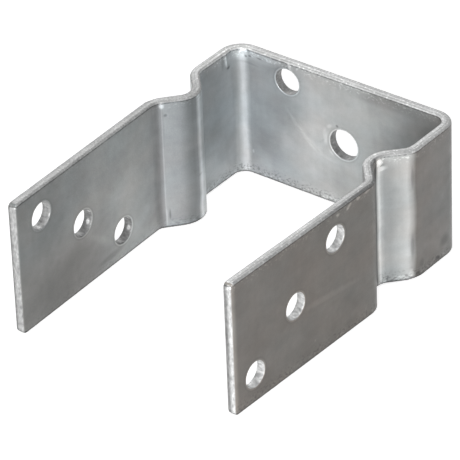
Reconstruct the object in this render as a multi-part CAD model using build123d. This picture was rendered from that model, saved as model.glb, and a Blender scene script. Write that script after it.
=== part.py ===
from build123d import *
import os
from math import radians, tan

# Fence post anchor, folded from one strip of hot-dip galvanised flat bar.
# It stands on the long edges of the strip: X runs along the web from the left arm to the right arm,
# the arms reach along -Y, and Z runs across the strip. The origin is the middle of the anchor bolt's
# hole, on the web's outer face, which is bolted down. All sizes are in millimetres and degrees.

# Strip
strip_width = 60.0
strip_thickness = 4.0
edge_rounding = 0.9

# Web and rear legs, where the corner radius is the one inside the fold
inner_width = 103.0
corner_radius = 5.0
leg_length = 30.6

# Crimp that carries the end of the post, and its three folds with their inside radii
crimp_depth = 12.6
crimp_run_rear = 13.4
crimp_run_front = 14.4
rear_fold_radius = 6.0
crest_radius = 6.5
front_fold_radius = 4.5

# Arms beside the post, which lean a little towards each other. The left one came out a little longer.
arm_length = 88.7
left_arm_extra = 2.7
arm_lean = 1.72

# Punched holes, on a diagonal of each arm and of the web, rounded where the punch went in.
# The web's holes sit a little to the right of its middle. Edge distances run to a hole's centre.
arm_hole_diameter = 11.5
arm_hole_pitch = 25.4
arm_hole_end_distance = 12.8
arm_hole_edge_distance = 12.7
anchor_hole_diameter = 13.5
web_hole_diameter = 11.5
web_hole_pitch = 27.8
web_hole_edge_distance = 9.5
web_hole_offset = 1.0
punch_rounding = 0.4

# Fold lines of one side, as the middle of the strip's thickness: x outwards, y back towards the web
half_strip = strip_thickness / 2
leg_x = inner_width / 2 + half_strip
corner_point = Vector(leg_x, -half_strip)
rear_fold_point = Vector(leg_x, -leg_length)
crest_point = Vector(leg_x - crimp_depth, rear_fold_point.Y - crimp_run_rear)
front_fold_point = Vector(leg_x, crest_point.Y - crimp_run_front)


def arm_point(distance):
    """The middle of the strip at a distance in front of the front fold, on the right side."""
    inwards = distance * tan(radians(arm_lean))
    return Vector(leg_x - inwards, front_fold_point.Y - distance)


def left(point):
    """The same point on the left side."""
    return Vector(-point.X, point.Y)


def folded_strip():
    """The bare strip: its folded middle line, given a thickness, corners at its ends, and a width."""
    folds = [corner_point, rear_fold_point, crest_point, front_fold_point]
    left_side = folds + [arm_point(arm_length + left_arm_extra)]
    right_side = folds + [arm_point(arm_length)]
    fold_points = [left(point) for point in reversed(left_side)] + right_side
    side_radii = [
        corner_radius + half_strip,
        rear_fold_radius + half_strip,
        crest_radius + half_strip,
        front_fold_radius + half_strip,
    ]
    middle_line = FilletPolyline(*fold_points, radius=side_radii[::-1] + side_radii)
    section = trace(middle_line, strip_thickness)
    for strip_end in (middle_line @ 0, middle_line @ 1):
        section = fillet(section.vertices().sort_by_distance(strip_end)[:2], edge_rounding)
    return extrude(section, amount=strip_width / 2, both=True)


def rounded(strip):
    """The strip with its long edges rounded, as the bar was rolled."""
    long_faces = strip.faces().filter_by(Axis.Z).sort_by(Axis.Z)
    return fillet(long_faces[0].edges() + long_faces[-1].edges(), edge_rounding)


def punched(strip, inner_centre, outwards, diameter):
    """The strip with one hole, punched from its inner face along the outward normal."""
    across = Plane(origin=inner_centre, z_dir=outwards)
    punch = Cylinder(diameter / 2, 3 * strip_thickness)
    strip -= across * punch
    inner_rim = strip.edges().filter_by(GeomType.CIRCLE).sort_by_distance(inner_centre)[0]
    return fillet(inner_rim, punch_rounding)


def arm_holes(side):
    """Centre and outward normal of each hole of one arm, with side 1 for the right arm."""
    along_arm = (arm_point(1) - front_fold_point).normalized()
    outwards = along_arm.rotate(Axis.Z, 90)
    middle_hole = arm_point(arm_length - arm_hole_end_distance - arm_hole_pitch) - outwards * half_strip
    rise = strip_width / 2 - arm_hole_edge_distance
    for step in (-1, 0, 1):
        centre = middle_hole + along_arm * (step * arm_hole_pitch)
        yield Vector(side * centre.X, centre.Y, -side * step * rise), Vector(side * outwards.X, outwards.Y)


def web_holes():
    """Centre and diameter of each hole of the web, from upper left to lower right."""
    rise = strip_width / 2 - web_hole_edge_distance
    for step, diameter in ((-1, web_hole_diameter), (0, anchor_hole_diameter), (1, web_hole_diameter)):
        yield Vector(web_hole_offset + step * web_hole_pitch, -strip_thickness, -step * rise), diameter


def anchor_strap():
    """The finished anchor: folded, rounded, and punched in both arms and in the web."""
    strap = rounded(folded_strip())
    for side in (-1, 1):
        for centre, outwards in arm_holes(side):
            strap = punched(strap, centre, outwards, arm_hole_diameter)
    for centre, diameter in web_holes():
        strap = punched(strap, centre, Vector(0, 1, 0), diameter)
    return Pos(-web_hole_offset, 0, 0) * strap


os.makedirs("parts", exist_ok=True)
export_step(anchor_strap(), "parts/anchor_strap.step")
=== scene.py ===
from bisect import bisect_right
from math import atan2, cos, exp, pi, radians, sin, tan

import bmesh
import bpy
from mathutils import Matrix, Vector, noise


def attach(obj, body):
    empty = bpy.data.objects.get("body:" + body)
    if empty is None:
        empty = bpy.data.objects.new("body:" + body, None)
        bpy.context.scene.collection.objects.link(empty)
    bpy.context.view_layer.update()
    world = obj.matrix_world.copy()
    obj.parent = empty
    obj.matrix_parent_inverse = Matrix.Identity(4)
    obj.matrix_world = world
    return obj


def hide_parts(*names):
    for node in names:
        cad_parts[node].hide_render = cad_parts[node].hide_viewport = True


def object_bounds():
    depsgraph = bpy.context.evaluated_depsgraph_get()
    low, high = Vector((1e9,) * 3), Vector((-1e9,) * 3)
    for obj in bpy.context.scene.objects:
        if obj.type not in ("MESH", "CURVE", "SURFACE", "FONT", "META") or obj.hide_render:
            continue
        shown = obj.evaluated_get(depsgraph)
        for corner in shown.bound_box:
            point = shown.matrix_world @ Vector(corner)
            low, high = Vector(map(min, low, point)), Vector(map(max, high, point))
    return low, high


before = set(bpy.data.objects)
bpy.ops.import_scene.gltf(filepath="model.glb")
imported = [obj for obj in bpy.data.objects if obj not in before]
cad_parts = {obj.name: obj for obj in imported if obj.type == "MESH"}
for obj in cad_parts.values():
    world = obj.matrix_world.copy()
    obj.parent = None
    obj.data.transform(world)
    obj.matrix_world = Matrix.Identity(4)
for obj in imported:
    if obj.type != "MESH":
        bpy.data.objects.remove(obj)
cad_low, cad_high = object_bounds()

# The anchor strap
# One hot-dip galvanised flat bar, punched flat and then folded cold into a U with a crimp in each
# arm. Its long edges are rolled round, its two ends are sheared, and its holes are rolled over on
# the side where the punch went in.
MM = 0.001
strip_width, strip_thickness = 60 * MM, 4 * MM
inner_width = 103 * MM
leg_length = 30.6 * MM
crimp_depth = 12.6 * MM
crimp_run_rear, crimp_run_front = 13.4 * MM, 14.4 * MM
corner_radius, rear_fold_radius, crest_radius, front_fold_radius = 5 * MM, 6 * MM, 6.5 * MM, 4.5 * MM
left_arm_length, right_arm_length = 91.4 * MM, 88.7 * MM
arm_lean = radians(1.72)
# The web's holes sit a little to the right of its middle. The anchor bolt's hole is at the origin.
web_hole_offset = 1 * MM

half_strip = strip_thickness / 2
half_strip_width = strip_width / 2
leg_x = inner_width / 2 + half_strip
rear_fold_y = -leg_length
crest_y = rear_fold_y - crimp_run_rear
front_fold_y = crest_y - crimp_run_front


def side_points(side, arm_length):
    """Corners of the folded middle line on one side, from the arm's end back to the web."""
    corners = [
        (leg_x - arm_length * tan(arm_lean), front_fold_y - arm_length),
        (leg_x, front_fold_y),
        (leg_x - crimp_depth, crest_y),
        (leg_x, rear_fold_y),
        (leg_x, -half_strip),
    ]
    return [Vector((side * x - web_hole_offset, y, 0)) for x, y in corners]


def fold_line():
    """Straight runs and folds of the middle line, from the left arm's end to the right arm's end."""
    points = side_points(-1, left_arm_length) + side_points(1, right_arm_length)[::-1]
    inside = [front_fold_radius, crest_radius, rear_fold_radius, corner_radius]
    radii = [radius + half_strip for radius in inside + inside[::-1]]
    runs, distance, reach_back = [], 0, 0
    for index in range(len(points) - 1):
        along = (points[index + 1] - points[index]).normalized()
        start = points[index] + along * reach_back
        length = (points[index + 1] - start).length
        if index < len(radii):
            beyond = (points[index + 2] - points[index + 1]).normalized()
            turn = along.angle(beyond) * (1 if along.cross(beyond).z < 0 else -1)
            reach_back = radii[index] * tan(abs(turn) / 2)
            length -= reach_back
        runs.append((distance, start, along, 0, 0))
        distance += length
        if index < len(radii):
            runs.append((distance, start + along * length, along, radii[index], turn))
            distance += radii[index] * abs(turn)
    return runs, distance


runs, strip_length = fold_line()
run_starts = [run[0] for run in runs]


def fold(flat):
    """Where a point of the flat strip goes: X along the strip, Y across it, Z out of its inner face."""
    distance, start, along, radius, turn = runs[max(bisect_right(run_starts, flat.x) - 1, 0)]
    inwards = Vector((along.y, -along.x, 0))
    beyond = flat.x - distance
    if radius:
        side = 1 if turn > 0 else -1
        angle = side * beyond / radius
        centre = start + inwards * radius * side
        heading_x = along.x * cos(angle) + along.y * sin(angle)
        heading_y = along.y * cos(angle) - along.x * sin(angle)
        inwards = Vector((heading_y, -heading_x, 0))
        place = centre - inwards * (radius * side - flat.z)
    else:
        place = start + along * beyond + inwards * flat.z
    return Vector((place.x, place.y, flat.y))


# Nine holes go through the flat bar in three diagonal rows. The web's row has the anchor bolt's larger
# hole in its middle. The arms' rows run opposite ways, and their middle holes take one post bolt.
hole_radius, anchor_hole_radius = 5.75 * MM, 6.75 * MM
arm_hole_pitch, arm_hole_rise = 25.4 * MM, 17.3 * MM
web_hole_pitch, web_hole_rise = 27.8 * MM, 20.5 * MM
middle_hole_distance = 50.5 * MM / cos(arm_lean)
left_row = left_arm_length / cos(arm_lean) - middle_hole_distance
right_row = strip_length - right_arm_length / cos(arm_lean) + middle_hole_distance
web_row = (runs[8][0] + runs[9][0]) / 2 + web_hole_offset

# Each hole has its place along and across the bar, its radius, and how bright the zinc in it is.
web_tone = 0.57
holes = [(web_row, 0, anchor_hole_radius, web_tone)]
for step in (-1, 1):
    holes.append((web_row + step * web_hole_pitch, -step * web_hole_rise, hole_radius, web_tone))
for step, left_tone, right_tone in ((-1, 0.46, 1.27), (0, 0.48, 1.27), (1, 0.84, 1.35)):
    holes.append((left_row - step * arm_hole_pitch, step * arm_hole_rise, hole_radius, left_tone))
    holes.append((right_row + step * arm_hole_pitch, -step * arm_hole_rise, hole_radius, right_tone))

# The grid's cells, the gap that is cleared round each hole, and the rings of points that fill it. Then
# the rows of points up the bar's walls, and how far its edges and its holes' rims are rounded.
cells_along, cells_across, edge_cell = 480, 72, 1.5 * MM
cleared_round_hole, rim_reach = 1 * MM, 3 * MM
hole_rings = (0.6 * MM, 0.4 * MM, 0.2 * MM, 0.054 * MM, 0)
wall_rows = (-0.8 * MM, 0, 0.8 * MM)
edge_rounding, punched_side_rounding, far_side_rounding = 0.9 * MM, 0.4 * MM, 0.15 * MM


def spread(share, length, cells):
    """Evenly spaced lines across a length, with a wider first and last cell for the rounded edge."""
    line = round(share * cells)
    if line in (0, cells):
        return line / cells * length
    return edge_cell + (line - 1) / (cells - 2) * (length - 2 * edge_cell)


def draw_round(centre, radius, verts):
    """Spaces the points evenly round a circle, in the order in which they lie round its centre."""
    bearings = sorted((atan2(vert.co.y - centre.y, vert.co.x - centre.x), vert.index, vert) for vert in verts)
    pace = 2 * pi / len(verts)
    start = sum(bearing[0] - place * pace for place, bearing in enumerate(bearings)) / len(verts)
    for place, (_, _, vert) in enumerate(bearings):
        angle = start + place * pace
        vert.co = centre + Vector((cos(angle), sin(angle), 0)) * radius


def flat_bar():
    """The bar before folding: a fine grid, with rings of points drawn round each hole."""
    bar = bmesh.new()
    bmesh.ops.create_grid(bar, x_segments=cells_along, y_segments=cells_across, size=1)
    for vert in bar.verts:
        vert.co.x = spread((vert.co.x + 1) / 2, strip_length, cells_along)
        vert.co.y = spread((vert.co.y + 1) / 2, strip_width, cells_across) - half_strip_width
        vert.co.z = -half_strip
    for x, y, radius, _ in holes:
        centre = Vector((x, y, -half_strip))
        reach = radius + cleared_round_hole
        punched = [face for face in bar.faces if (face.calc_center_median() - centre).length < reach]
        bmesh.ops.delete(bar, geom=punched, context="FACES")
        for ring in hole_rings:
            rim = []
            for edge in bar.edges:
                if edge.is_boundary and (edge.verts[0].co - centre).length < radius + rim_reach:
                    rim.append(edge)
            drawn = bmesh.ops.extrude_edge_only(bar, edges=rim)["geom"]
            new_ring = [item for item in drawn if isinstance(item, bmesh.types.BMVert)]
            draw_round(centre, radius + ring, new_ring)
    return bar


def thicken(bar):
    """Draws the flat grid out to the bar's thickness, with rows of points up its walls."""
    faces = bmesh.ops.extrude_face_region(bar, geom=bar.faces[:], use_keep_orig=True)["geom"]
    upper = [item for item in faces if isinstance(item, bmesh.types.BMVert)]
    bmesh.ops.translate(bar, verts=upper, vec=(0, 0, strip_thickness))
    for height in wall_rows:
        geometry = bar.verts[:] + bar.edges[:] + bar.faces[:]
        bmesh.ops.bisect_plane(bar, geom=geometry, dist=1e-7, plane_co=(0, 0, height), plane_no=(0, 0, 1))
    bmesh.ops.recalc_face_normals(bar, faces=bar.faces)


def round_off(bar):
    """Rounds the bar's outline, and rolls each hole's rim over, most where the punch went in."""
    outline = []
    for edge in bar.edges:
        middle = (edge.verts[0].co + edge.verts[1].co) / 2
        on_end = min(middle.x, strip_length - middle.x) < 1e-6
        on_side = half_strip_width - abs(middle.y) < 1e-6
        if edge.calc_face_angle(0) > 1 and (on_end or on_side):
            outline.append(edge)
    bmesh.ops.bevel(bar, geom=outline, offset=edge_rounding, offset_type="OFFSET", segments=4, profile=0.5,
                    affect="EDGES", material=-1, clamp_overlap=False)
    bmesh.ops.remove_doubles(bar, verts=bar.verts, dist=0.002 * MM)
    on_faces = [vert for vert in bar.verts if abs(abs(vert.co.z) - half_strip) < 1e-6]
    for x, y, radius, _ in holes:
        for vert in on_faces:
            rolled = punched_side_rounding if vert.co.z > 0 else far_side_rounding
            inside = rolled - ((vert.co.x - x) ** 2 + (vert.co.y - y) ** 2) ** 0.5 + radius
            if inside > 0:
                drop = rolled - max(rolled ** 2 - inside ** 2, 0) ** 0.5
                vert.co.z -= drop if vert.co.z > 0 else -drop


# What the folding tools and the zinc bath left on the bar's two faces. Places are on the flat bar, in
# millimetres: along it from the left end, and across it from its middle line. A run of zinc is a row
# of such places, with its half width and its height there.
zinc_runs = [
    ("inner", [(144.0, 29.2, 0.9, 0.3), (143.6, 27.0, 0.7, 0.32), (144.2, 24.6, 0.6, 0.3),
               (145.1, 22.6, 1.0, 0.42)]),
    ("inner", [(178.4, 29.4, 0.9, 0.3), (178.8, 28.0, 0.8, 0.34), (179.3, 26.6, 0.9, 0.36)]),
    ("inner", [(176.0, 8.5, 0.8, 0.05), (180.5, 3.2, 0.75, 0.16), (187.0, -3.2, 0.75, 0.18),
               (194.8, -8.1, 0.75, 0.16), (203.0, -9.6, 0.9, 0.05)]),
    ("inner", [(158.6, 28.3, 0.6, 0.1), (166.0, 28.2, 0.5, 0.14), (172.0, 28.6, 0.5, 0.08)]),
    ("outer", [(301.4, 27.3, 1.0, 0.12), (298.6, 26.6, 1.2, 0.34), (295.4, 27.2, 0.9, 0.2)]),
    ("outer", [(300.0, 24.2, 1.0, 0.1), (296.6, 23.8, 1.1, 0.22), (294.0, 24.0, 0.8, 0.05)]),
]
# Round lumps and, with a negative height, dents: half length, half width and height.
zinc_lumps = [
    ("inner", 151.4, 28.6, 1.2, 1.0, 0.28), ("inner", 153.6, 27.6, 0.9, 0.8, 0.32),
    ("inner", 155.9, 28.4, 1.0, 0.9, 0.3), ("inner", 157.2, 26.9, 0.8, 0.7, 0.16),
    ("inner", 160.2, 28.0, 0.9, 0.8, 0.24), ("inner", 163.0, 27.4, 0.9, 0.6, 0.2),
    ("inner", 152.4, 26.4, 0.7, 0.7, 0.22), ("inner", 154.8, 25.9, 0.7, 0.6, 0.2),
    ("inner", 165.4, 28.3, 1.0, 0.6, 0.22), ("inner", 168.4, 27.4, 0.9, 0.5, 0.16),
    ("inner", 171.0, 28.4, 0.9, 0.5, 0.18), ("inner", 158.6, 26.6, 0.6, 0.6, 0.16),
    ("inner", 196.9, 2.4, 0.8, 1.1, 0.24), ("inner", 196.4, -1.0, 0.7, 0.9, 0.22),
    ("inner", 197.8, -4.0, 0.8, 0.8, 0.18), ("inner", 195.0, 4.4, 0.6, 0.7, 0.12),
    ("inner", 194.6, -2.6, 0.5, 0.6, 0.1), ("inner", 159.4, -18.7, 0.6, 0.8, 0.16),
    ("inner", 94.5, 28.7, 0.8, 0.7, 0.22), ("inner", 96.2, 23.4, 0.8, 0.7, -0.16),
    ("inner", 96.2, -23.4, 0.5, 2.4, -0.1), ("inner", 190.2, 28.8, 1.2, 0.6, 0.16),
    ("inner", 193.6, 28.7, 1.0, 0.5, 0.16), ("inner", 204.0, 28.6, 1.6, 0.6, 0.12),
    ("outer", 340.9, 27.0, 0.9, 0.7, -0.18), ("outer", 334.1, 27.4, 0.9, 0.7, -0.16),
    ("outer", 328.2, 28.2, 1.0, 0.7, -0.2), ("outer", 322.3, 28.3, 1.0, 0.7, -0.16),
    ("outer", 284.2, -27.6, 0.7, 0.8, 0.2), ("outer", 285.6, -25.6, 0.6, 0.7, 0.16),
    ("outer", 287.6, -28.0, 1.0, 0.7, 0.2), ("outer", 290.4, -27.4, 1.1, 0.7, 0.16),
    ("outer", 282.6, -28.3, 0.7, 0.7, -0.16), ("outer", 269.5, -28.0, 1.0, 0.7, -0.16),
]
# The parts of the two faces that are drawn finer, for the relief on them: from and to along the bar,
# and from and to across it.
fine_areas = [
    ("inner", 142.3, 163.5, 21.5, 29.2), ("inner", 163.5, 196.0, 26.2, 29.2),
    ("inner", 175.0, 204.0, -11.0, 9.5), ("inner", 93.0, 98.0, 21.5, 29.2),
    ("inner", 94.5, 97.5, -27.5, -20.0), ("outer", 292.0, 303.0, 21.8, 29.2),
    ("outer", 281.0, 293.0, -29.2, -24.0), ("outer", 320.0, 343.0, 25.6, 29.2),
]


def refine(bar):
    """Cuts the grid finer on the areas of one face that carry relief."""
    for face_side, low_x, high_x, low_y, high_y in fine_areas:
        height = half_strip if face_side == "inner" else -half_strip
        chosen = []
        for edge in bar.edges:
            if all(abs(vert.co.z - height) < 1e-6 and low_x * MM < vert.co.x < high_x * MM
                   and low_y * MM < vert.co.y < high_y * MM for vert in edge.verts):
                chosen.append(edge)
        bmesh.ops.subdivide_edges(bar, edges=chosen, cuts=1, use_grid_fill=True)


def distance_to_run(x, y, start, end):
    """How far a point is from a piece of a run, and how far along that piece it lies, from 0 to 1."""
    step_x, step_y = end[0] - start[0], end[1] - start[1]
    share = ((x - start[0]) * step_x + (y - start[1]) * step_y) / (step_x ** 2 + step_y ** 2)
    share = min(max(share, 0), 1)
    return ((x - start[0] - share * step_x) ** 2 + (y - start[1] - share * step_y) ** 2) ** 0.5, share


def relief(face_side, x, y):
    """Height of the zinc over a face at one place of the flat bar, all in millimetres."""
    on_inner = face_side == "inner"
    height = -0.02 + 0.016 * noise.noise((x / 9, y / 9, 3 if on_inner else 8))
    height += 0.012 * noise.noise((x / 2.6, y / 3.4, 5 if on_inner else 1))
    for run_side, points in zinc_runs:
        if run_side != face_side or not points[0][0] - 8 < x < points[-1][0] + 8:
            continue
        highest = 0
        for start, end in zip(points, points[1:]):
            distance, share = distance_to_run(x, y, start, end)
            half_width = start[2] + share * (end[2] - start[2])
            top = start[3] + share * (end[3] - start[3])
            highest = max(highest, top * exp(-(distance / half_width) ** 2))
        height += highest
    for lump_side, lump_x, lump_y, half_length, half_width, top in zinc_lumps:
        if lump_side == face_side and abs(x - lump_x) < 5 and abs(y - lump_y) < 6:
            height += top * exp(-((x - lump_x) / half_length) ** 2 - ((y - lump_y) / half_width) ** 2)
    return height


def fold_strain(x, z):
    """How far into a fold a place is, and how much it is stretched there, both from 0 to 1."""
    index = max(bisect_right(run_starts, x) - 1, 0)
    start, radius, turn = runs[index][0], runs[index][3], runs[index][4]
    if not radius:
        return 0, 0
    stretched = (1 - z / half_strip * (1 if turn > 0 else -1)) / 2
    return sin(pi * (x - start) / (radius * abs(turn))), stretched


# What folding and shearing do to the bar, in millimetres. A fold's pressed side swells beside the edge
# and its stretched side pulls the edge in. The shears roll one side of each end over, and leave the
# bar's four corners a little blunt.
swelling, swelling_inset, swelling_reach = 0.22, 2.2, 1.8
edge_pull, edge_reach = 0.3, 1.6
end_roll, end_reach = 0.42, 1.6
corner_cut = 2.2


def weather(bar):
    """Moves the flat bar's points to where shearing, folding and zinc have put them."""
    for vert in bar.verts:
        flat = vert.co.copy()
        x, y, z = flat / MM
        bend, stretched = fold_strain(flat.x, flat.z)
        from_edge = strip_width / MM / 2 - abs(y)
        from_end = min(x, strip_length / MM - x)
        to_middle_x = 1 if flat.x < strip_length / 2 else -1
        to_middle_y = -1 if y > 0 else 1
        if abs(abs(flat.z) - half_strip) < 1e-6:
            height = relief("inner" if z > 0 else "outer", x, y)
            near_swelling = exp(-((from_edge - swelling_inset) / swelling_reach) ** 2)
            height += swelling * bend * (1 - stretched) * near_swelling
            vert.co.z += height * MM * (1 if z > 0 else -1)
        near_edge = exp(-(from_edge / edge_reach) ** 2)
        if near_edge > 0.01:
            waves = 0.05 + 0.04 * noise.noise((x / 5, 0, z / 2)) + 0.035 * noise.noise((x / 1.3, 4, z / 1.2))
            vert.co.y += (waves + edge_pull * bend * stretched) * near_edge * MM * to_middle_y
        if from_end < end_reach:
            rolled = max(z * to_middle_x + 0.8, 0) / 2.8
            torn = 0.05 + 0.04 * noise.noise((y / 3, z / 2, 7)) + 0.045 * noise.noise((y / 0.9, z / 0.8, 2))
            pushed = (end_roll * rolled ** 2 + torn) * (1 - from_end / end_reach)
            vert.co.x += pushed * MM * to_middle_x
        in_corner_x, in_corner_y = corner_cut - from_end, corner_cut - from_edge
        if in_corner_x > 0 and in_corner_y > 0:
            kept = max(in_corner_x, in_corner_y) / (in_corner_x ** 2 + in_corner_y ** 2) ** 0.5
            vert.co.x += in_corner_x * (1 - kept) * MM * to_middle_x
            vert.co.y += in_corner_y * (1 - kept) * MM * to_middle_y


def nearest_rim(x, y):
    """The distance to the nearest hole's rim in millimetres, and how bright that hole's wall is."""
    nearest, nearest_tone = strip_length, 1
    for hole_x, hole_y, radius, tone in holes:
        off_rim = ((x - hole_x) ** 2 + (y - hole_y) ** 2) ** 0.5 - radius
        if off_rim < nearest:
            nearest, nearest_tone = off_rim, tone
    return nearest / MM, nearest_tone


def anchor_strap():
    """The finished bar: punched, rounded and weathered flat, then folded, with its flat places kept."""
    bar = flat_bar()
    thicken(bar)
    round_off(bar)
    refine(bar)
    flat_place = bar.verts.layers.float_vector.new("flat_place")
    from_rim = bar.verts.layers.float.new("from_rim")
    wall_tone = bar.verts.layers.float.new("wall_tone")
    for vert in bar.verts:
        vert[flat_place] = vert.co
        vert[from_rim], vert[wall_tone] = nearest_rim(vert.co.x, vert.co.y)
    weather(bar)
    for vert in bar.verts:
        vert.co = fold(vert.co)
    for face in bar.faces:
        face.smooth = True
    mesh = bpy.data.meshes.new("folded_strap")
    bar.to_mesh(mesh)
    bar.free()
    mesh.set_sharp_from_angle(angle=radians(40))
    strap = bpy.data.objects.new("folded_strap", mesh)
    bpy.context.scene.collection.objects.link(strap)
    return strap


# The zinc is dull grey and lighter on the web. The ramp also holds painted light: painted highlights
# on the two crimps' crests, on the web's left corner and on the right crimp's rear fold and flank, and
# painted shade in thin dark bands beside the folds. The right arm is darker and warmer, partly painted
# shade. Each stop is a place along the bar in millimetres, with its colour.
zinc_and_painted_light_stops = [
    (0, (0.2, 0.21, 0.21)), (20, (0.21, 0.22, 0.22)), (45, (0.28, 0.287, 0.286)),
    (75, (0.374, 0.388, 0.388)), (87, (0.35, 0.355, 0.355)), (91.2, (0.175, 0.175, 0.177)),
    (93.6, (0.26, 0.26, 0.265)), (95, (0.36, 0.37, 0.38)), (101, (0.33, 0.34, 0.35)),
    (105, (0.22, 0.23, 0.235)), (107.8, (0.2, 0.21, 0.215)), (109.4, (0.8, 0.82, 0.84)),
    (111, (0.6, 0.62, 0.63)), (128, (0.4, 0.42, 0.43)), (146, (0.475, 0.5, 0.515)),
    (151.4, (0.4, 0.42, 0.43)), (153.8, (0.58, 0.6, 0.62)), (156.2, (0.61, 0.63, 0.65)),
    (158.3, (0.33, 0.345, 0.36)), (172, (0.34, 0.353, 0.366)), (190, (0.47, 0.48, 0.485)),
    (213, (0.39, 0.4, 0.4)), (238, (0.202, 0.205, 0.203)), (283.2, (0.188, 0.175, 0.164)),
    (285.2, (0.57, 0.57, 0.565)), (288.5, (0.52, 0.525, 0.52)), (296.4, (0.54, 0.55, 0.55)),
    (298.2, (0.95, 0.95, 0.94)), (302, (0.22, 0.215, 0.21)), (322, (0.158, 0.147, 0.135)),
    (345, (0.15, 0.138, 0.125)), (406, (0.163, 0.15, 0.138)),
]
# Specks, smudges and scratches, and painted light: painted highlights and glints on the folds, the
# crimps' crests, the runs of zinc and the holes' walls, and painted shade beside the folds, the runs and
# the dents. Each has along, across, face, half length, half width, turn in degrees, and what the zinc's
# colour is multiplied by in the middle of the mark.
marks_and_painted_light = [
    (96.2, 23.4, 2, 0.9, 0.8, 0, 0.6), (96.2, -23.4, 2, 0.5, 2.8, 0, 0.62),
    (94.9, -24.5, 2, 0.4, 4.5, 0, 1.35), (94.6, 28.0, 2, 1.3, 1.6, 0, 2.1),
    (82.5, -15.5, 2, 2.2, 3.0, 20, 1.1), (109.2, -8.1, 2, 1.3, 0.8, 20, 0.8),
    (145.2, 22.6, 2, 1.2, 0.9, 0, 0.5), (143.8, 26.2, 2, 0.7, 3.2, 5, 1.9),
    (155.0, 27.2, 2, 9.0, 3.2, 0, 1.3), (156.8, 26.0, 2, 1.0, 0.8, 0, 0.45),
    (159.2, 26.6, 2, 0.9, 0.7, 0, 0.5), (163.8, 26.8, 2, 1.8, 0.5, -8, 0.62),
    (166.0, 26.8, 2, 9.0, 2.6, 0, 1.2), (158.0, 23.2, 2, 7.0, 0.7, -4, 0.86),
    (141.8, 26.0, 2, 1.1, 3.5, 0, 0.76), (168.0, 28.0, 2, 10.0, 1.4, 0, 1.32),
    (179.0, 28.0, 2, 0.8, 2.0, 12, 1.35), (192.0, 29.0, 2, 3.6, 0.9, 0, 1.1),
    (226.0, 26.6, 2, 26.0, 3.2, 0, 0.8), (196.4, 1.4, 2, 1.3, 4.5, 0, 1.28),
    (198.6, 6.6, 2, 1.8, 1.0, 35, 1.3), (199.5, -5.6, 2, 1.6, 1.0, -40, 1.25),
    (202.4, 7.9, 2, 0.8, 0.7, 0, 0.55), (159.4, -18.7, 2, 0.6, 1.1, 0, 1.45),
    (185.0, -27.6, 2, 14.0, 1.6, 0, 0.86), (179.6, 4.2, 2, 5.2, 1.0, -52, 1.12),
    (187.6, -4.0, 2, 6.0, 1.0, -40, 1.12), (197.0, -8.8, 2, 6.0, 1.0, -12, 1.1),
    (30.0, -20.0, 2, 34.0, 14.0, 0, 0.69), (195.0, -19.0, 2, 26.0, 10.0, 0, 0.86),
    (348.5, -6.2, -2, 25.0, 1.8, 7, 1.22), (70.0, -3.0, 2, 15.0, 9.0, -25, 1.13),
    (52.0, -13.8, 2, 7.5, 2.2, -37, 1.15), (26.0, 6.0, 2, 6.0, 9.0, 0, 0.88),
    (58.0, -24.6, 2, 10.0, 1.7, 3, 0.74), (38.0, -11.0, 2, 9.0, 5.5, -20, 0.89),
    (94.6, 0.0, 2, 0.4, 40.0, 0, 1.3), (46.3, -2.6, 0.2, 1.2, 1.5, 0, 3.8),
    (46.0, 2.9, 1.0, 0.9, 0.9, 0, 3.0), (71.7, -19.2, 0.3, 1.2, 1.5, 0, 3.4),
    (71.0, -14.2, 0.8, 0.9, 1.0, 0, 2.6), (168.0, -12.0, 2, 8.0, 12.0, 30, 0.86),
    (176.0, 4.0, 2, 9.0, 9.0, 20, 0.92), (322.0, 29.8, -1.6, 30.0, 1.3, 0, 0.45),
    (301.2, 24.0, -2, 1.3, 5.0, 0, 0.35), (362.0, -24.0, -2, 14.0, 5.0, 10, 0.9),
    (372.0, -16.0, -2, 10.0, 5.0, 0, 1.1), (340.9, 27.0, -2, 1.1, 0.9, 0, 2.0),
    (334.1, 27.4, -2, 2.2, 0.9, -30, 2.0), (328.2, 28.0, -2, 1.3, 0.9, 0, 2.2),
    (322.8, 28.3, -2, 2.0, 0.8, 0, 2.0), (356.9, -22.0, -2, 0.7, 0.7, 0, 1.3),
    (390.6, -22.4, -2, 0.9, 0.7, 0, 1.3), (298.6, 27.2, -2, 2.6, 1.5, 0, 2.3),
    (296.4, 24.2, -2, 3.0, 1.2, 0, 1.6), (296.6, 25.7, -2, 2.0, 0.5, 0, 0.75),
    (284.9, -26.6, -2, 1.0, 2.2, 0, 1.45), (284.4, -14.0, -2, 0.8, 7.0, 0, 0.7),
    (284.2, 18.0, -2, 0.7, 6.0, 0, 0.72), (289.0, -27.8, -2, 4.0, 1.1, 0, 1.25),
    (282.4, -27.6, -2, 1.3, 1.2, 0, 0.35), (269.5, -27.6, -2, 2.2, 1.2, 20, 0.35),
    (280.4, -24.0, -2, 1.6, 2.4, 0, 0.72), (264.8, -21.4, -2, 3.6, 3.0, 0, 0.62),
    (301.0, 0.0, -2, 1.1, 60.0, 0, 0.42), (298.3, 0.0, -2, 1.0, 60.0, 0, 1.12),
    (283.0, 8.0, -2, 0.9, 24.0, 0, 0.92),
]

# Fresh zinc on what was cut or punched, and the tints of the cool and the warm patches.
fresh_zinc = (0.305, 0.307, 0.306, 1)
cool_tint, warm_tint = (0.970, 1.005, 1.015, 1), (1.035, 0.985, 0.950, 1)

# Where the rounded edges begin and are whole, and where the crease beside them lies, in millimetres from
# the middle line. Then how far from the sheared ends the edges' look fades and stops, and how far from
# them the ends' own look begins and is whole.
bar_length = strip_length / MM
half_length = bar_length / 2
edge_starts, edge_whole = 29.15, 29.5
crease_place = 29.05
edge_fades, edge_stops = 1.6, 1.2
end_starts, end_whole = 0.40, 0.05


def put(tree, value, socket):
    """Gives a socket a plain value, or links it to another node's output."""
    if isinstance(value, bpy.types.NodeSocket):
        tree.links.new(value, socket)
    else:
        socket.default_value = value


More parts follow.
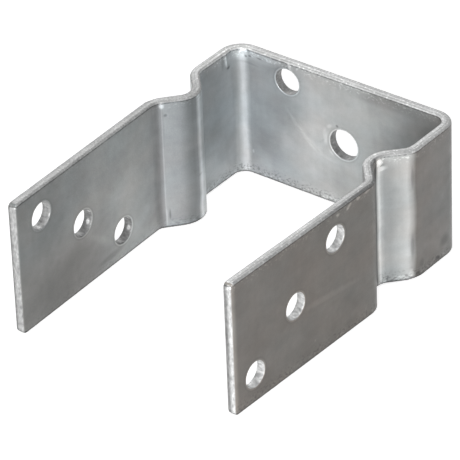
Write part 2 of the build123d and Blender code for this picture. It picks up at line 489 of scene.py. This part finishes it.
def reckon(tree, operation, *values):
    """One step of arithmetic on outputs and plain numbers."""
    step = tree.nodes.new("ShaderNodeMath")
    step.operation = operation
    for value, socket in zip(values, step.inputs):
        put(tree, value, socket)
    return step.outputs["Value"]


def times(tree, product, *factors):
    """The first factor multiplied by all the others."""
    for factor in factors:
        product = reckon(tree, "MULTIPLY", product, factor)
    return product


def distance_from(tree, value, middle):
    """How far a value is from a middle value, on either side of it."""
    return reckon(tree, "ABSOLUTE", reckon(tree, "SUBTRACT", value, middle))


def ramp_factor(tree, value, start, end, low, high):
    """A factor that goes smoothly from one value to another while its input goes from start to end."""
    step = tree.nodes.new("ShaderNodeMapRange")
    step.interpolation_type = "SMOOTHSTEP"
    put(tree, value, step.inputs["Value"])
    put(tree, start, step.inputs["From Min"])
    put(tree, end, step.inputs["From Max"])
    put(tree, low, step.inputs["To Min"])
    put(tree, high, step.inputs["To Max"])
    return step.outputs["Result"]


def mixed(tree, share, first, second, kind="FLOAT"):
    """The first value where the share is 0, the second where it is 1."""
    mix = tree.nodes.new("ShaderNodeMix")
    mix.data_type = kind
    put(tree, share, mix.inputs["Factor"])
    put(tree, first, mix.inputs["A"])
    put(tree, second, mix.inputs["B"])
    return mix.outputs["Result"]


def clouds(tree, place, stretch, detail, low, high):
    """Uneven zinc as a factor between two values, from noise stretched over the flat bar."""
    drawn = tree.nodes.new("ShaderNodeVectorMath")
    drawn.operation = "MULTIPLY"
    tree.links.new(place, drawn.inputs[0])
    drawn.inputs[1].default_value = stretch
    cloud = tree.nodes.new("ShaderNodeTexNoise")
    cloud.inputs["Scale"].default_value = 1
    cloud.inputs["Detail"].default_value = detail
    tree.links.new(drawn.outputs["Vector"], cloud.inputs["Vector"])
    spread_out = tree.nodes.new("ShaderNodeMapRange")
    spread_out.inputs["From Min"].default_value = 0.3
    spread_out.inputs["From Max"].default_value = 0.7
    put(tree, low, spread_out.inputs["To Min"])
    put(tree, high, spread_out.inputs["To Max"])
    tree.links.new(cloud.outputs["Fac"], spread_out.inputs["Value"])
    return spread_out.outputs["Result"]


def attribute(tree, name, output):
    """What the bar's points carry under a name, such as their place on the flat bar."""
    on_bar = tree.nodes.new("ShaderNodeAttribute")
    on_bar.attribute_name = name
    return on_bar.outputs[output]


def zinc_and_painted_light_by_place(tree, along):
    """The zinc's colour along the bar, with its painted highlights and painted shade, from a colour ramp over
    its length.
    """
    ramp = tree.nodes.new("ShaderNodeValToRGB")
    stops = ramp.color_ramp.elements
    stops[0].position = zinc_and_painted_light_stops[0][0] / bar_length
    stops[1].position = zinc_and_painted_light_stops[-1][0] / bar_length
    for place, colour in zinc_and_painted_light_stops[1:-1]:
        stops.new(place / bar_length)
    for stop, (place, colour) in zip(stops, zinc_and_painted_light_stops):
        stop.color = (*colour, 1)
    tree.links.new(reckon(tree, "DIVIDE", along, bar_length), ramp.inputs["Fac"])
    return ramp.outputs["Color"]


def with_every_mark_and_painted_light(tree, place, tone):
    """The tone with every mark multiplied in, painted highlights and painted shade among them."""
    for along, across, depth, half_length_of_mark, half_width, turned, strength in marks_and_painted_light:
        over = tree.nodes.new("ShaderNodeMapping")
        over.vector_type = "TEXTURE"
        over.inputs["Location"].default_value = (along, across, depth)
        over.inputs["Rotation"].default_value = (0, 0, radians(turned))
        over.inputs["Scale"].default_value = (half_length_of_mark, half_width, 1)
        tree.links.new(place, over.inputs["Vector"])
        reach = tree.nodes.new("ShaderNodeVectorMath")
        reach.operation = "LENGTH"
        tree.links.new(over.outputs["Vector"], reach.inputs[0])
        tone = times(tree, tone, ramp_factor(tree, reach.outputs["Value"], 0.3, 1.2, strength, 1))
    return tone


def cloudy(tree, place):
    """Clouds, mottling and fine grain in the zinc, and runs drawn across and along the bar."""
    return times(
        tree,
        clouds(tree, place, (0.07, 0.085, 0.4), 3, 0.89, 1.11),
        clouds(tree, place, (0.30, 0.26, 0.5), 3, 0.965, 1.035),
        clouds(tree, place, (1.6, 1.6, 1.6), 2, 0.97, 1.03),
        clouds(tree, place, (0.45, 0.05, 0.5), 2, 0.98, 1.02),
        clouds(tree, place, (0.10, 0.45, 0.5), 3, 0.98, 1.02),
    )


def hole_rims(tree):
    """The tone of each hole's wall, and the light ring of rolled zinc round it, partly a painted highlight,
    with a faint painted shade outside it.
    """
    from_rim = attribute(tree, "from_rim", "Fac")
    outside = ramp_factor(tree, from_rim, 0.02, 0.25, 0, 1)
    wall = mixed(tree, outside, attribute(tree, "wall_tone", "Fac"), 1)
    shade = 0.86
    ring = ramp_factor(tree, from_rim, 0.4, 0.95, 1.38, shade)
    return times(tree, wall, times(tree, ring, ramp_factor(tree, from_rim, 0.95, 1.8, 1, 1 / shade)))


def edge_tone(tree, place, along, depth):
    """The long edges: bright and speckled, dull towards the outer face, with two thin broken dark lines."""
    darkest = ramp_factor(tree, along, 95, 135, 0.92, 1.14)
    brightest = ramp_factor(tree, along, 95, 135, 1.76, 1.50)
    tone = times(
        tree,
        clouds(tree, place, (1.3, 1.3, 1.3), 3, darkest, brightest),
        ramp_factor(tree, along, 100, 150, 0.84, 1.42),
        ramp_factor(tree, along, 285, 325, 1, 0.84),
        ramp_factor(tree, depth, -1.5, 0.2, 0.74, 1),
    )
    broken = clouds(tree, place, (0.22, 0.1, 0.1), 2, 0.35, 1.0)
    broken = times(tree, broken, ramp_factor(tree, along, 105, 130, 0.15, 1))
    for line_depth in (-0.2, 1.4):
        darker = ramp_factor(tree, distance_from(tree, depth, line_depth), 0.08, 0.35, -0.45, 0)
        tone = times(tree, tone, reckon(tree, "MULTIPLY_ADD", darker, broken, 1))
    return tone


def crumbs_and_dross(tree, place, along, across, tone):
    """The tone with bright crumbs under the upper edge, and specks and crumbs along the lower one."""
    crumbs = clouds(tree, place, (0.8, 1.1, 0.9), 2, 0, 1)
    off_left_arm = ramp_factor(tree, along, 70, 150, 0.3, 1)
    # Each band has where it starts and ends across the bar, how few and how many crumbs, and two tones.
    bands = (
        (24.5, 28.4, 0.6, 0.9, 1.0, 1.5),
        (-23.0, -28.0, 0.58, 0.85, 1.0, 0.55),
        (-26.0, -28.4, 0.08, 0.3, 1.5, 1.0),
    )
    for start, end, few, many, low, high in bands:
        near = times(tree, ramp_factor(tree, across, start, end, 0, 1), off_left_arm)
        tone = times(tree, tone, mixed(tree, near, 1, ramp_factor(tree, crumbs, few, many, low, high)))
    return tone


def end_tone(tree, place, along, depth, past_middle):
    """The sheared ends: streaked, and dull on the left as one looks at them from in front."""
    side = reckon(tree, "SIGN", past_middle)
    leftwards = times(tree, reckon(tree, "ADD", depth, 0.5), side)
    return times(
        tree,
        clouds(tree, place, (1.0, 0.5, 1.3), 3, 0.65, 1.35),
        ramp_factor(tree, leftwards, -0.4, 1.2, 1.07, 0.40),
        ramp_factor(tree, along, 100, 300, 1.12, 1),
    )


def galvanised_steel():
    """The bar's zinc: dull and cloudy on its faces, brighter and speckled where it was cut."""
    material = bpy.data.materials.new("galvanised_steel")
    material.use_nodes = True
    tree = material.node_tree
    shader = tree.nodes["Principled BSDF"]
    in_mm = tree.nodes.new("ShaderNodeVectorMath")
    in_mm.operation = "SCALE"
    in_mm.inputs["Scale"].default_value = 1 / MM
    tree.links.new(attribute(tree, "flat_place", "Vector"), in_mm.inputs[0])
    place = in_mm.outputs["Vector"]
    parts = tree.nodes.new("ShaderNodeSeparateXYZ")
    tree.links.new(place, parts.inputs["Vector"])
    along, across, depth = parts.outputs["X"], parts.outputs["Y"], parts.outputs["Z"]
    from_middle_line = reckon(tree, "ABSOLUTE", across)
    past_middle = reckon(tree, "SUBTRACT", along, half_length)
    from_middle = reckon(tree, "ABSOLUTE", past_middle)

    # The marks hold painted highlights, glints and painted shade besides specks and smudges.
    tone = with_every_mark_and_painted_light(tree, place, cloudy(tree, place))
    tone = times(tree, tone, hole_rims(tree))

    # Painted shade: the rounding along the underside, which lies in the dark, is darkened in its colour, and
    # it is dull.
    underside_shade = ramp_factor(tree, across, -29.7, -28.8, 0.2, 1)
    tone = times(tree, tone, underside_shade)

    # The rounded edges stop short of the sheared ends. A rough dark crease runs beside them.
    not_end = ramp_factor(tree, from_middle, half_length - edge_fades, half_length - edge_stops, 1, 0)
    on_edge = times(tree, ramp_factor(tree, from_middle_line, edge_starts, edge_whole, 0, 1), not_end)
    tone = times(tree, tone, mixed(tree, on_edge, 1, edge_tone(tree, place, along, depth)))
    creased = clouds(tree, place, (0.9, 0.3, 0.3), 3, 0.34, 0.84)
    from_crease = distance_from(tree, from_middle_line, crease_place)
    tone = times(tree, tone, ramp_factor(tree, from_crease, 0.1, 0.45, creased, 1))
    tone = crumbs_and_dross(tree, place, along, across, tone)

    # The punched walls of the holes are rough.
    on_wall = ramp_factor(tree, reckon(tree, "ABSOLUTE", depth), 1.75, 1.98, 1, 0)
    in_hole = times(tree, on_wall, ramp_factor(tree, from_middle_line, 28.6, 28.9, 1, 0), not_end)
    tone = times(tree, tone, mixed(tree, in_hole, 1, clouds(tree, place, (0.9, 0.9, 0.5), 3, 0.62, 1.38)))

    # The sheared ends are streaked, and the right arm's end has a painted highlight where it rolls over into
    # the face.
    on_end = ramp_factor(tree, from_middle, half_length - end_starts, half_length - end_whole, 0, 1)
    tone = times(tree, tone, mixed(tree, on_end, 1, end_tone(tree, place, along, depth, past_middle)))
    tone = times(tree, tone, ramp_factor(tree, along, 403.4, 405.6, 1, 1.7))

    # Cool and warm patches, with the left arm browned towards its lower end. The borders between the
    # tones along the bar wander a little.
    warmth = clouds(tree, place, (0.045, 0.060, 0.3), 2, -0.1, 0.7)
    browned = times(tree, ramp_factor(tree, along, 85, 30, 0, 1), ramp_factor(tree, across, 16, -12, 0, 1))
    tint = mixed(tree, reckon(tree, "MAXIMUM", warmth, browned), cool_tint, warm_tint, "RGBA")
    astray = clouds(tree, place, (0.05, 0.07, 0.3), 2, -0.45, 0.45)
    tinted = tree.nodes.new("ShaderNodeVectorMath")
    tinted.operation = "MULTIPLY"
    # The ramp along the bar carries the painted highlights and painted shade of the folds and the right arm.
    tree.links.new(zinc_and_painted_light_by_place(tree, reckon(tree, "ADD", along, astray)), tinted.inputs[0])
    tree.links.new(tint, tinted.inputs[1])
    cut_or_punched = reckon(tree, "MAXIMUM", reckon(tree, "MAXIMUM", on_edge, on_end), in_hole)
    zinc = tree.nodes.new("ShaderNodeVectorMath")
    zinc.operation = "SCALE"
    tree.links.new(mixed(tree, cut_or_punched, tinted.outputs["Vector"], fresh_zinc, "RGBA"), zinc.inputs[0])
    tree.links.new(tone, zinc.inputs["Scale"])
    tree.links.new(zinc.outputs["Vector"], shader.inputs["Base Color"])

    put(tree, times(tree, underside_shade, 0.5), shader.inputs["Specular IOR Level"])
    put(tree, 0.4, shader.inputs["Metallic"])
    put(tree, clouds(tree, place, (0.25, 0.25, 0.5), 3, 0.36, 0.48), shader.inputs["Roughness"])
    skin = tree.nodes.new("ShaderNodeBump")
    put(tree, 0.5, skin.inputs["Strength"])
    put(tree, 0.06 * MM, skin.inputs["Distance"])
    put(tree, clouds(tree, place, (1.2, 1.2, 1.2), 3, 0, 1), skin.inputs["Height"])
    put(tree, skin.outputs["Normal"], shader.inputs["Normal"])
    return material


strap = anchor_strap()
strap.data.materials.append(galvanised_steel())
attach(strap, "root")
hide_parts("anchor_strap")


# The floor
# A plain pale sheet under the anchor. The camera and the steel see it as white paper, on which the
# anchor's soft shadow stays.
floor_half_size = 6
floor_low = cad_low[2]


def seen_rays(tree):
    """One where the camera, or a mirroring or clear surface, looks at this, and zero for other light."""
    path = tree.nodes.new("ShaderNodeLightPath")
    mirror = reckon(tree, "MAXIMUM", path.outputs["Is Glossy Ray"], path.outputs["Is Transmission Ray"])
    return reckon(tree, "MAXIMUM", path.outputs["Is Camera Ray"], mirror)


def floor_paper():
    """Pale matt paper, lifted to white only where it is seen."""
    material = bpy.data.materials.new("floor_paper")
    material.use_nodes = True
    tree = material.node_tree
    tree.nodes.clear()
    paper = tree.nodes.new("ShaderNodeBsdfDiffuse")
    put(tree, (0.6, 0.6, 0.6, 1), paper.inputs["Color"])
    white = tree.nodes.new("ShaderNodeEmission")
    put(tree, times(tree, seen_rays(tree), 0.8), white.inputs["Strength"])
    both = tree.nodes.new("ShaderNodeAddShader")
    tree.links.new(paper.outputs["BSDF"], both.inputs[0])
    tree.links.new(white.outputs["Emission"], both.inputs[1])
    output = tree.nodes.new("ShaderNodeOutputMaterial")
    tree.links.new(both.outputs["Shader"], output.inputs["Surface"])
    return material


sheet = bmesh.new()
bmesh.ops.create_grid(sheet, x_segments=1, y_segments=1, size=floor_half_size)
bmesh.ops.translate(sheet, verts=sheet.verts, vec=(0, 0, floor_low))
floor_mesh = bpy.data.meshes.new("floor")
sheet.to_mesh(floor_mesh)
sheet.free()
floor = bpy.data.objects.new("floor", floor_mesh)
bpy.context.scene.collection.objects.link(floor)
floor.data.materials.append(floor_paper())


# The light
# Soft boxes in front, low enough to reach into the U, in an even pale room that shows as white.
room_light, room_seen = 0.2, 1
world = bpy.data.worlds.new("studio")
bpy.context.scene.world = world
world.use_nodes = True
room = world.node_tree
room_white = room.nodes.new("ShaderNodeMapRange")
put(room, room_light, room_white.inputs["To Min"])
put(room, room_seen, room_white.inputs["To Max"])
put(room, seen_rays(room), room_white.inputs["Value"])
put(room, room_white.outputs["Result"], room.nodes["Background"].inputs["Strength"])
put(room, (1, 1, 1, 1), room.nodes["Background"].inputs["Color"])
bpy.context.scene.view_settings.view_transform = "Standard"

lit_point = Vector((0, -0.08, 0))
box_distance = 1.4


def soft_box(name, azimuth, elevation, size, power):
    """A round soft box that looks at the anchor, at an azimuth from the front towards the right."""
    azimuth, elevation = radians(azimuth), radians(elevation)
    away = Vector((sin(azimuth) * cos(elevation), -cos(azimuth) * cos(elevation), sin(elevation)))
    lamp = bpy.data.lights.new(name, "AREA")
    lamp.shape = "DISK"
    lamp.size = size
    lamp.energy = power
    box = bpy.data.objects.new(name, lamp)
    bpy.context.scene.collection.objects.link(box)
    box.location = lit_point + away * box_distance
    box.rotation_euler = (-away).to_track_quat("-Z", "Y").to_euler()


soft_box("front_box", 12, 10, 0.5, 18)
soft_box("right_box", 40, 28, 0.6, 4)
soft_box("back_box", -130, 32, 0.6, 3)
soft_box("top_box", 0, 90, 0.9, 3)


# The camera
# It looks down on the anchor from in front and from the right, with a long lens.
azimuth, elevation, roll = radians(38.278), radians(32.846), radians(-2.265)
# The focal length, and where the point that it aims at lies in the picture, are in the photo's pixels.
picture_size, focal_pixels, sensor_width = 460, 4159.45, 36
camera_distance = 1.631573
aim = Vector((-web_hole_offset, -0.08, 0))
aim_x, aim_y = 228.529, 229.031

back = Vector((sin(azimuth) * cos(elevation), -cos(azimuth) * cos(elevation), sin(elevation)))
level_right = Vector((cos(azimuth), sin(azimuth), 0))
level_up = back.cross(level_right)
right = level_right * cos(roll) + level_up * sin(roll)
up = level_up * cos(roll) - level_right * sin(roll)
metres_per_pixel = camera_distance / focal_pixels

camera_data = bpy.data.cameras.new("camera")
camera_data.sensor_width = sensor_width
camera_data.lens = sensor_width * focal_pixels / picture_size
camera = bpy.data.objects.new("camera", camera_data)
bpy.context.scene.collection.objects.link(camera)
bpy.context.scene.camera = camera
camera_place = aim + back * camera_distance
camera_place -= right * ((aim_x - picture_size / 2) * metres_per_pixel)
camera_place += up * ((aim_y - picture_size / 2) * metres_per_pixel)
turn = Matrix((right, up, back)).transposed().to_4x4()
camera.matrix_world = Matrix.Translation(camera_place) @ turn
